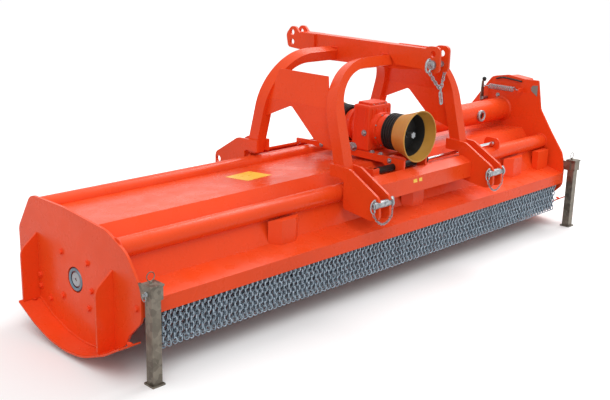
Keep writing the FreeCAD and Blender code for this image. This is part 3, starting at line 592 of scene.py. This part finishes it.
def stand_pin(name, side):
    """Spring pin with its pull ring on the outer side of one stand's sleeve."""
    knob = [(0, 0.002), (0, 0.011), (0.004, 0.011), (0.006, 0.006), (0.016, 0.006), (0.018, 0.002)]
    ring_radius, wire = 0.013, 0.0015
    low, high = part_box(name + "_stand")
    sleeve_low, sleeve_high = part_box(name + "_stand_guide")
    face = sleeve_low.x if side < 0 else sleeve_high.x
    place = Vector((face + side * 0.001, (low.y + high.y) / 2, sleeve_high.z - 0.028))
    form = Form()
    form.lathe(knob, place, X * side, 20)
    ring = ring_path(place + X * side * 0.012 - Z * 0.014, Y, Z, ring_radius, ring_radius, 20)
    form.tube(ring, wire, 6, closed=True)
    form.piece(name + "_guide_pin", "casing", "bolt_zinc", "galvanised")


def coil_path(start, end, radius, turns, steps_a_turn=14):
    """Helix round the line between two points that lie along Y."""
    path = []
    count = turns * steps_a_turn
    for k in range(count + 1):
        turn = 2 * math.pi * k / steps_a_turn
        path.append(start.lerp(end, k / count) + X * radius * math.cos(turn) + Z * radius * math.sin(turn))
    return path


def spring_tensioner():
    """Coil spring from an anchor to the belt lever, and the lever's knob and pivot."""
    tensioner_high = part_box("belt_tensioner")[1]
    plate_x, x, z = tensioner_high.x, tensioner_high.x - 0.042, 0.832
    front, rear = Vector((x, -0.115, z)), Vector((x, 0.077, z))
    radius, wire = 0.0150, 0.0030
    coil = Form()
    coil.tube(coil_path(front, rear, radius, 13), wire, 7)
    for end, away in ((front, -Y), (rear, Y)):
        hook = [end + X * radius, end + X * 0.005 + away * 0.006, end + away * 0.012, end + away * 0.040]
        coil.tube(hook, wire)
    coil.piece("tensioner_spring", "casing", "bolt_zinc", "galvanised", replaces=("belt_tensioner",))
    anchor = Form()
    anchor.block((x - 0.010, front.y - 0.044, z - 0.014), (plate_x, front.y - 0.036, z + 0.014))
    anchor.piece("tensioner_anchor", "casing", "cast_paint", "red_paint", bevel=0.001)

    root = rear + Y * 0.044
    outline = [(-0.014, -0.100), (0.014, -0.100), (0.016, -0.070), (0.009, 0.010), (0.009, 0.030),
               (-0.009, 0.030), (-0.009, 0.010), (-0.016, -0.070)]
    lever = Form()
    lever.plate(outline, root, X, Z, -0.010)
    lever.piece("tensioner_lever", "casing", "stand_zinc", "galvanised", bevel=0.0025)
    overhang, pivot_radius = 0.012, 0.010
    length = plate_x - x + overhang
    pivot = Form()
    pivot.lathe([(0, 0.003), (0, pivot_radius), (length, pivot_radius), (length, 0.003)],
                root - X * overhang - Y * 0.005 - Z * 0.084, X, 28)
    pivot.piece("tensioner_pivot", "casing", "bare_steel")
    knob = Form()
    knob.lathe([(0, 0.002), (0, 0.008), (0.008, 0.013), (0.018, 0.014), (0.026, 0.009), (0.028, 0.002)],
               root - Y * 0.005 + Z * 0.028, Z, 24)
    knob.piece("tensioner_knob", "casing", "black_parts")


def right_tower_trim():
    """Black edge strip, grey gusset and one bolt on the inner face of the right side plate's tower."""
    strip = Form()
    line = [(-0.144, 0.884), (-0.080, 0.890), (0.0, 0.894), (0.047, 0.882)]
    strip.tube(smooth_path([Vector((RIGHT_INNER_FACE - 0.004, y, z)) for y, z in line]), 0.009, 10, flat=0.55)
    strip.piece("edge_strip", "casing", "black_parts")
    gusset = Form()
    outline = [(-0.262, 0.802), (-0.262, 0.872), (-0.225, 0.868), (-0.214, 0.852), (-0.218, 0.832)]
    gusset.plate(outline, Vector((RIGHT_INNER_FACE, 0, 0)), Y, Z, -0.0025)
    gusset.piece("tower_gusset", "casing", "grey_green", "galvanised", bevel=0.0008)
    bolt = Form()
    bolt.bolt(Vector((RIGHT_INNER_FACE, 0.030, 0.775)), -X, 0.010, 0.007)
    bolt.piece("tower_bolt", "casing", "bolt_zinc", "galvanised")


def drive_tube_fittings():
    """Access port's rim and plug, end rings and grease cap of the cross drive's tube."""
    low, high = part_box("drive_tube")
    radius = 0.072
    z = high.z - radius
    port = Vector((high.x - 0.340, low.y, z))
    rim = Form()
    rim.lathe([(-0.004, 0.0205), (0.002, 0.0205), (0.004, 0.024), (0.004, 0.033), (0.0, 0.0365),
               (-0.012, 0.0365)], port, -Y, 48)
    rim.piece("drive_port_rim", "casing", "bolt_zinc", "galvanised")
    plug = Form()
    plug.lathe([(-0.011, 0.002), (-0.008, 0.005), (-0.008, 0.016), (-0.0105, 0.0195), (-0.014, 0.0195),
                (-0.014, 0.002)], port, -Y, 40)
    plug.piece("drive_port_plug", "casing", "black_parts")
    rings = Form()
    collar = [(0, radius), (0, radius + 0.013), (0.010, radius + 0.013), (0.014, radius + 0.010),
              (0.014, radius)]
    rings.lathe(collar, Vector((low.x + 0.002, 0, z)), X)
    rings.lathe([(0, radius), (0, radius + 0.010), (-0.010, radius)], Vector((high.x, 0, z)), X)
    rings.piece("drive_tube_rings", "casing", "red_paint")
    cap = Form()
    cap.lathe([(0, 0.001), (0, 0.009), (0.010, 0.008), (0.013, 0.005), (0.013, 0.001)],
              Vector((0.848, -0.018, z + radius - 0.004)), Z, 24)
    cap.piece("grease_cap", "casing", "yellow_decal", "yellow_plastic")


def rear_hinge_bolts():
    """Row of bolts that hold the flap's hinge to the rear sheet."""
    low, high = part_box("rear_flap")
    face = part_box("rear_sheet")[1].y
    count, inset, row_z = 13, 0.08, 0.379
    form = Form()
    for k in range(count):
        x = low.x + inset + (high.x - low.x - 2 * inset) * k / (count - 1)
        form.bolt(Vector((x, face - 0.0005, row_z)), Y, 0.007, 0.005)
    form.piece("rear_hinge_bolts", "casing", "bolt_zinc", "galvanised")


def guide_tube_welds():
    """Weld bead round both guide tubes where they meet the side plates."""
    bead, proud = 0.0042, 0.002
    form = Form()
    for x in (LEFT_INNER_FACE + 0.001, RIGHT_INNER_FACE - 0.001):
        for tube in ("front_guide_tube", "rear_guide_tube"):
            low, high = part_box(tube)
            radius = (high.z - low.z) / 2 + proud
            centre = Vector((x, (low.y + high.y) / 2, (low.z + high.z) / 2))
            form.tube(rippled(ring_path(centre, Y, Z, radius, radius, 72)), bead, 6, closed=True)
    form.piece("tube_welds", "casing", "cast_paint", "red_paint", smooth=80)


bearing_hubs()
side_plate_bolts()
belt_cover_tabs()
skid_bolts()
skid_welds()
blank_sign()
cross_member_marks()
for name, side in (("left", -1), ("right", 1)):
    stand_ring(name + "_stand")
    stand_pin(name, side)
spring_tensioner()
right_tower_trim()
drive_tube_fittings()
rear_hinge_bolts()
guide_tube_welds()

# ---------------------------------------------------------------- rotor details


def hammer_bolts():
    """Bolt head and nut on each hammer's lugs, on the rotor's four sides by turns."""
    count, lug, radius = 28, 0.034, 0.137
    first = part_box("hammers")[1].x - lug
    form = Form()
    for i in range(count):
        x = -first + 2 * first * i / (count - 1)
        turn = math.radians((0, 180, 90, 270)[i % 4])
        place = Vector((x, ROTOR.y - radius * math.sin(turn), ROTOR.z + radius * math.cos(turn)))
        form.bolt(place + X * lug, X, 0.011, 0.008)
        form.bolt(place - X * lug, -X, 0.011, 0.010)
    form.piece("hammer_bolts", "rotor", "forged", "bare_steel")


hammer_bolts()

# ---------------------------------------------------------------- headstock details
PTO = Vector(MOUNTS["pto_front"]["pos_m"])
STUB_RADIUS = MOUNTS["pto_front"]["dims"]["r_mm"] / 1000
STUB_LENGTH = MOUNTS["pto_front"]["dims"]["length_mm"] / 1000


def on_axis(y):
    """Point of the take-off shaft's axis at a given y."""
    return Vector((PTO.x, y, PTO.z))


def cone(name, node, side):
    """Flared guard with a rolled rim, seated on its collar, and black painted shade deep inside it."""
    low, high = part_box(node)
    start, length = low.y if side > 0 else high.y, high.y - low.y
    rim, back, wall, lip = (high.x - low.x) / 2, 0.102, 0.004, 0.0035
    waist_at, waist = 0.55 * length, 0.45 * back + 0.55 * rim - 0.002
    outside = [(0, back), (0.006, back + 0.001), (waist_at, waist), (length - 2 * lip, rim - 0.0015),
               (length - lip, rim - 0.0002), (length - 0.3 * lip, rim - 0.0012), (length, rim - lip)]
    inside = [(length - 0.3 * lip, rim - 2 * lip), (length - 2 * lip, rim - wall - 0.0025),
              (waist_at, waist - wall), (0.006, back + 0.001 - wall), (0, back - wall)]
    form = Form()
    form.lathe(outside + inside, on_axis(start), Y * side, 112)
    form.piece(name, "headstock", "cone_plastic", "yellow_plastic", smooth=50, replaces=(node,))
    middle = (back + rim) / 2
    # Black sheet over the back half of the inner wall: painted shade, standing for the shade deep inside the
    # guard.
    painted_shade = [(0.004, 0.093), (0.004, back - 0.005), (length / 2, middle - 0.0085),
             (length / 2, middle - 0.011), (0.006, back - 0.0085), (0.006, 0.093)]
    dark = Form()
    dark.lathe(painted_shade, on_axis(start), Y * side, 96)
    dark.piece(name + "_liner", "headstock", "black_parts")


def collars():
    """Ribbed rubber collars between the gearbox and its cones, each closed by a disc round the shaft."""
    length, ribs, crest, valley, disc, hole = 0.080, 5, 0.0995, 0.0945, 0.0965, 0.0215
    step = (length - 0.002) / ribs
    profile = [(-0.004, 0.0405), (-0.004, disc), (0.001, disc)]
    for k in range(ribs):
        at = 0.001 + k * step
        profile += [(at + 0.15 * step, valley), (at + 0.3 * step, crest), (at + 0.7 * step, crest),
                    (at + 0.85 * step, valley)]
    profile += [(length - 0.001, 0.092), (length - 0.001, 0.0405)]
    sleeve = [(-0.003, hole), (-0.003, 0.041), (length - 0.002, 0.041), (length - 0.002, hole)]
    form = Form()
    for start, side in ((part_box("front_cone_guard")[1].y, 1), (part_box("rear_cone_guard")[0].y, -1)):
        form.lathe(profile, on_axis(start), Y * side, 96)
        form.lathe(sleeve, on_axis(start), Y * side, 48)
    form.piece("ribbed_collars", "headstock", "black_parts", smooth=35, replaces=("cone_collars",))


def power_shaft():
    """Through shaft with a six-spline stub at each end, cut by its locking groove."""
    low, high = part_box("pto_shaft")
    splines, root, through = 6, 0.83 * STUB_RADIUS, 0.0203
    groove_at, groove = 0.038, 0.008
    tooth = ((-0.24, root), (-0.22, STUB_RADIUS), (-0.08, STUB_RADIUS), (0.08, STUB_RADIUS),
             (0.22, STUB_RADIUS), (0.24, root))
    section = []
    for k in range(splines):
        for share, radius in tooth:
            turn = 2 * math.pi * (k + share) / splines
            section.append((radius * math.cos(turn), radius * math.sin(turn)))
    form = Form()
    for tip, inward in ((low.y, 1), (high.y, -1)):
        for near, far in ((0, groove_at), (groove_at + groove, STUB_LENGTH)):
            start, end = sorted((tip + inward * near, tip + inward * far))
            form.plate(section, on_axis(start), Z, X, end - start)
        neck = [(-0.001, 0.001), (-0.001, root), (groove + 0.001, root), (groove + 0.001, 0.001)]
        form.lathe(neck, on_axis(tip + inward * groove_at), Y * inward, 36)
    length = high.y - low.y - 2 * STUB_LENGTH
    shaft = [(0, 0.001), (0, through), (length, through), (length, 0.001)]
    form.lathe(shaft, on_axis(low.y + STUB_LENGTH), Y, 36)
    form.piece("splined_shaft", "pto", "bare_steel", bevel=0.0004, smooth=25, replaces=("pto_shaft",))


# The gearbox's cast block, between its two round housings.
GEARBOX_LOW, GEARBOX_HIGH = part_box("gearbox")
BLOCK_HALF = PTO.x - GEARBOX_LOW.x
BLOCK_LEFT, BLOCK_RIGHT = PTO.x - BLOCK_HALF, PTO.x + BLOCK_HALF
BLOCK_FRONT, BLOCK_REAR = GEARBOX_LOW.y + 0.082, GEARBOX_LOW.y + 0.204
BLOCK_BOTTOM, LID_TOP = GEARBOX_LOW.z, GEARBOX_HIGH.z
BLOCK_TOP = LID_TOP - 0.014


def gearbox_body():
    """Rounded cast block with ribs on three sides, its lid and the outlet's flange."""
    body = Form()
    body.block((BLOCK_LEFT, BLOCK_FRONT, BLOCK_BOTTOM), (BLOCK_RIGHT, BLOCK_REAR, BLOCK_TOP), 0.004)
    body.piece("gearbox_body", "headstock", "cast_paint", "red_paint", bevel=0.012, replaces=("gearbox",))
    rib_half, rib_deep, proud = 0.004, 0.02, 0.0035
    foot, head = BLOCK_BOTTOM + 0.012, BLOCK_TOP - 0.02
    ribs = Form()
    end_ribs = ((BLOCK_FRONT - proud, BLOCK_FRONT + rib_deep), (BLOCK_REAR - rib_deep, BLOCK_REAR + proud))
    for off in (-0.062, -0.030, 0.030, 0.062):
        for y0, y1 in end_ribs:
            ribs.block((PTO.x + off - rib_half, y0, foot), (PTO.x + off + rib_half, y1, head), 0.001)
    x0, x1 = BLOCK_LEFT - 0.0005, BLOCK_LEFT + rib_deep
    for y in (BLOCK_FRONT + 0.03, BLOCK_REAR - 0.03):
        ribs.block((x0, y - rib_half, foot), (x1, y + rib_half, head), 0.001)
    side_step, end_step = 0.032, 0.012
    ribs.block((BLOCK_LEFT + side_step, BLOCK_FRONT + end_step, BLOCK_TOP - 0.002),
               (BLOCK_RIGHT - side_step, BLOCK_REAR - end_step, LID_TOP - 0.002), 0.002)
    ribs.block((BLOCK_RIGHT - 0.004, BLOCK_REAR - 0.028, BLOCK_BOTTOM),
               (GEARBOX_HIGH.x - 0.0002, GEARBOX_HIGH.y, BLOCK_BOTTOM + 0.120), 0.003)
    ribs.piece("gearbox_ribs", "headstock", "cast_paint", "red_paint", bevel=0.003)


def gearbox_housings():
    """Stepped round housings for the shaft's bearings and four bosses on the block's top."""
    profile = [(-0.004, 0.025), (-0.004, 0.091), (0.006, 0.091), (0.012, 0.086), (0.024, 0.085),
               (0.026, 0.094), (0.036, 0.094), (0.038, 0.085), (0.072, 0.083), (0.080, 0.079),
               (0.0815, 0.074), (0.0815, 0.025)]
    boss = [(0, 0.002), (0, 0.015), (0.013, 0.013), (0.0145, 0.010), (0.0145, 0.002)]
    boss_x, boss_y = 0.055, 0.034
    middle = (BLOCK_FRONT + BLOCK_REAR) / 2
    form = Form()
    for start, side in ((BLOCK_FRONT, -1), (BLOCK_REAR, 1)):
        form.lathe(profile, on_axis(start), Y * side, 80)
        for x in (PTO.x - boss_x, PTO.x + boss_x):
            form.lathe(boss, Vector((x, middle + side * boss_y, BLOCK_TOP - 0.003)), Z, 28)
    form.piece("gearbox_housings", "headstock", "cast_paint", "red_paint")


def gearbox_fittings():
    """Lid bolts, the flange screws of both housings, the drain plug and the level plug."""
    flange_screws, flange_radius, flange_at = 8, 0.089, 0.036
    form = Form()
    for x in (-0.046, 0.0, 0.046):
        for y in (BLOCK_FRONT + 0.021, BLOCK_REAR - 0.021):
            form.bolt(Vector((PTO.x + x, y, LID_TOP - 0.0105)), Z, 0.0075, 0.006)
    for start, side in ((BLOCK_FRONT, -1), (BLOCK_REAR, 1)):
        for k in range(flange_screws):
            turn = 2 * math.pi * (k + 0.5) / flange_screws
            out = (X * math.cos(turn) + Z * math.sin(turn)) * flange_radius
            form.bolt(on_axis(start + side * flange_at) + out, Y * side, 0.0045, 0.005, washer=False)
    form.bolt(Vector((BLOCK_LEFT, BLOCK_REAR - 0.02, BLOCK_BOTTOM + 0.012)), -X, 0.017, 0.018)
    form.bolt(Vector((BLOCK_LEFT, BLOCK_FRONT + 0.03, BLOCK_BOTTOM + 0.10)), -X, 0.012, 0.010)
    form.piece("gearbox_fittings", "headstock", "bolt_zinc", "galvanised")


def seat_bolts():
    """Bolts down through the gearbox's bed plate and sideways through the seat's long plates."""
    low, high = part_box("gearbox_seat")
    form = Form()
    for x in (PTO.x - 0.082, PTO.x + 0.082):
        for y in (-0.225, -0.165, 0.0, 0.045):
            form.bolt(Vector((x, y, BLOCK_BOTTOM)), Z, 0.011, 0.009)
    for x, side in ((low.x, -1), (high.x, 1)):
        for y in (-0.30, 0.20):
            form.bolt(Vector((x, y, BLOCK_BOTTOM - 0.020)), X * side, 0.010, 0.008)
    form.piece("seat_bolts", "headstock", "bolt_zinc", "galvanised")


def add_linchpin(form, centre, outward, rise, bar, ring_drop, ring_reach, wire):
    """Adds the bar across a hitch pin's free end and the half ring that springs over the end."""
    steps, below = 12, 0.034
    form.tube([centre + Z * rise, centre - Z * below], bar, 12)
    ring_top = centre + Z * (rise - 0.002)
    turns = [math.pi * k / steps for k in range(steps + 1)]
    ring = [ring_top + outward * ring_reach * math.sin(t) - Z * ring_drop * (1 - math.cos(t)) for t in turns]
    form.tube(ring, wire, 8)


def lower_pin_fittings():
    """End cap, linchpin, pull handle and keeper chain of both lower hitch pins."""
    reach, free_end, head = 0.047, 0.026, 0.010
    wire, pitch, slack = 0.0034, 0.0125, 0.046
    for name in ("left", "right"):
        pin = Vector(MOUNTS["lower_link_" + name]["pos_m"])
        free, head_face = pin - X * (reach + free_end), pin + X * (reach + head)
        form = Form()
        form.lathe([(-0.002, 0.004), (-0.002, 0.0153), (0.003, 0.0153), (0.006, 0.012), (0.006, 0.004)],
                   free, -X, 32)
        add_linchpin(form, free + X * 0.012, -X, 0.030, 0.0048, 0.034, 0.030, 0.0032)
        form.piece(name + "_linchpin", "headstock", "bolt_zinc", "galvanised")
        bend = [(0, 0.016), (0.014, 0.022), (0.022, 0.008), (0.020, -0.012), (0.010, -0.024), (0, -0.020)]
        handle = Form()
        handle.tube(smooth_path([head_face + X * a + Z * b for a, b in bend]), 0.0042, 10)
        handle.piece(name + "_pin_handle", "headstock", "bolt_zinc", "galvanised")
        from_ring = free + X * 0.004 - Z * 0.044
        under_plate = head_face + X * 0.014 - Z * 0.074
        keeper = Form()
        hung_chain(keeper, from_ring, under_plate, slack, wire, pitch)
        hung_chain(keeper, under_plate, head_face + X * 0.014 - Z * 0.028, 0.0, wire, pitch)
        keeper.piece(name + "_keeper_chain", "headstock", "bolt_zinc", "galvanised", smooth=80)


def top_pin_fittings():
    """Loop handle and linchpin of the top link pin, and its keeper chain with a long link in the middle."""
    pin = Vector(MOUNTS["top_link"]["pos_m"])
    head, free = pin - X * 0.055, pin + X * 0.069
    form = Form()
    form.lathe([(0, 0.003), (0, 0.0235), (0.004, 0.0235), (0.007, 0.018), (0.007, 0.003)], head, -X, 40)
    loop = [(0.004, 0.020), (0.022, 0.030), (0.040, 0.010), (0.040, -0.022), (0.020, -0.036), (0.004, -0.020)]
    form.tube(smooth_path([head - X * a + Z * b for a, b in loop]), 0.0058, 12)
    form.piece("top_pin_handle", "headstock", "bolt_zinc", "galvanised")
    clip = Form()
    add_linchpin(clip, free - X * 0.010, X, 0.028, 0.0045, 0.030, 0.026, 0.003)
    clip.piece("top_linchpin", "headstock", "bolt_zinc", "galvanised")

    wire, pitch, slack = 0.0050, 0.017, 0.004
    middle = Vector((PTO.x + 0.019, pin.y - 0.012, 1.016))
    tag_end = Vector((PTO.x + 0.034, middle.y, 0.940))
    chain = Form()
    hung_chain(chain, head - X * 0.012 - Z * 0.036, middle, slack, wire, pitch)
    hung_chain(chain, middle, free - X * 0.006 - Z * 0.036, slack, wire, pitch)
    tag_top = middle - Z * 0.010
    along = (tag_end - tag_top).normalized()
    tag = link_path((tag_top + tag_end) / 2, along.cross(Y), along, 0.017, (tag_end - tag_top).length, 8)
    chain.tube(tag, 0.0042, 10, closed=True)
    chain.piece("top_keeper_chain", "headstock", "bolt_zinc", "galvanised", smooth=80)


def headstock_welds():
    """Weld beads at the arches' feet, between the hitch plates, and along the beam over the arches."""
    foot_z, foot_start, foot_end, half_gap = 0.6655, 0.300, 0.356, 0.032
    form = Form()
    for mount in ("lower_link_left", "lower_link_right"):
        middle = MOUNTS[mount]["pos_m"][0]
        for x in (middle - half_gap, middle + half_gap):
            for side in (-1, 1):
                line = straight(Vector((x, side * foot_start, foot_z)), Vector((x, side * foot_end, foot_z)))
                form.tube(rippled(line), 0.0035, 6)
    beam_low, beam_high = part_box("top_beam")
    top_z, crown_start, crown_end = 1.168, 0.156, 0.222
    for x in (beam_low.x, beam_high.x):
        for side in (-1, 1):
            line = straight(Vector((x, side * crown_end, top_z)), Vector((x, side * crown_start, top_z)))
            form.tube(rippled(line), 0.004, 6)
    form.piece("headstock_welds", "headstock", "cast_paint", "red_paint", smooth=80)


cone("front_cone", "front_cone_guard", -1)
cone("rear_cone", "rear_cone_guard", 1)
collars()
power_shaft()
gearbox_body()
gearbox_housings()
gearbox_fittings()
seat_bolts()
lower_pin_fittings()
top_pin_fittings()
headstock_welds()

# ---------------------------------------------------------------- floor, light


def seen_directly(tree):
    """1 for rays from the camera, a gloss or glass, which see the backdrop, and 0 for light on the object."""
    rays = tree.nodes.new("ShaderNodeLightPath").outputs
    seen = rays["Is Camera Ray"]
    for kind in ("Is Glossy Ray", "Is Transmission Ray"):
        either = tree.nodes.new("ShaderNodeMath")
        either.operation = "MAXIMUM"
        tree.links.new(seen, either.inputs[0])
        tree.links.new(rays[kind], either.inputs[1])
        seen = either.outputs[0]
    return seen


def floor():
    """Wide plain floor that looks white and bounces as pale grey."""
    reach = 60.0
    corners = [(-reach, -reach, 0), (reach, -reach, 0), (reach, reach, 0), (-reach, reach, 0)]
    mesh = bpy.data.meshes.new("floor")
    mesh.from_pydata(corners, [], [(0, 1, 2, 3)])
    obj = bpy.data.objects.new("floor", mesh)
    scene.collection.objects.link(obj)
    s = Shader("floor", 0.9, specular=0.0)
    s.set(s.surface, {"Base Color": s.mix(seen_directly(s.tree), (0.5, 0.5, 0.5, 1), (0.93, 0.93, 0.93, 1))})
    mesh.materials.append(s.material)


def sky():
    """White surroundings, a little dimmer as light than as backdrop."""
    world = bpy.data.worlds.new("studio")
    scene.world = world
    world.use_nodes = True
    tree = world.node_tree
    background = tree.nodes["Background"]
    background.inputs["Color"].default_value = (1, 1, 1, 1)
    strength = tree.nodes.new("ShaderNodeMapRange")
    strength.inputs["To Min"].default_value = 0.84
    strength.inputs["To Max"].default_value = 1.0
    tree.links.new(seen_directly(tree), strength.inputs["Value"])
    tree.links.new(strength.outputs["Result"], background.inputs["Strength"])


def lamp(name, kind, energy, direction):
    """Light that shines along a direction."""
    data = bpy.data.lights.new(name, kind)
    data.energy = energy
    obj = bpy.data.objects.new(name, data)
    scene.collection.objects.link(obj)
    obj.rotation_euler = direction.to_track_quat("-Z", "Y").to_euler()
    return obj


def lamps():
    """Wide soft sun from the front left, and a softbox high over the right end for the gloss on top."""
    key = lamp("key", "SUN", 0.95, Vector((0.42, 0.54, -0.95)))
    key.data.angle = math.radians(35)
    target, toward, distance = Vector((-0.3, -0.33, 0.52)), Vector((0.687, 0.173, 0.706)), 7.2
    softbox = lamp("softbox", "AREA", 290.0, -toward)
    softbox.data.shape = "RECTANGLE"
    softbox.data.size, softbox.data.size_y = 4.8, 3.2
    softbox.location = target + toward * distance


floor()
sky()
lamps()
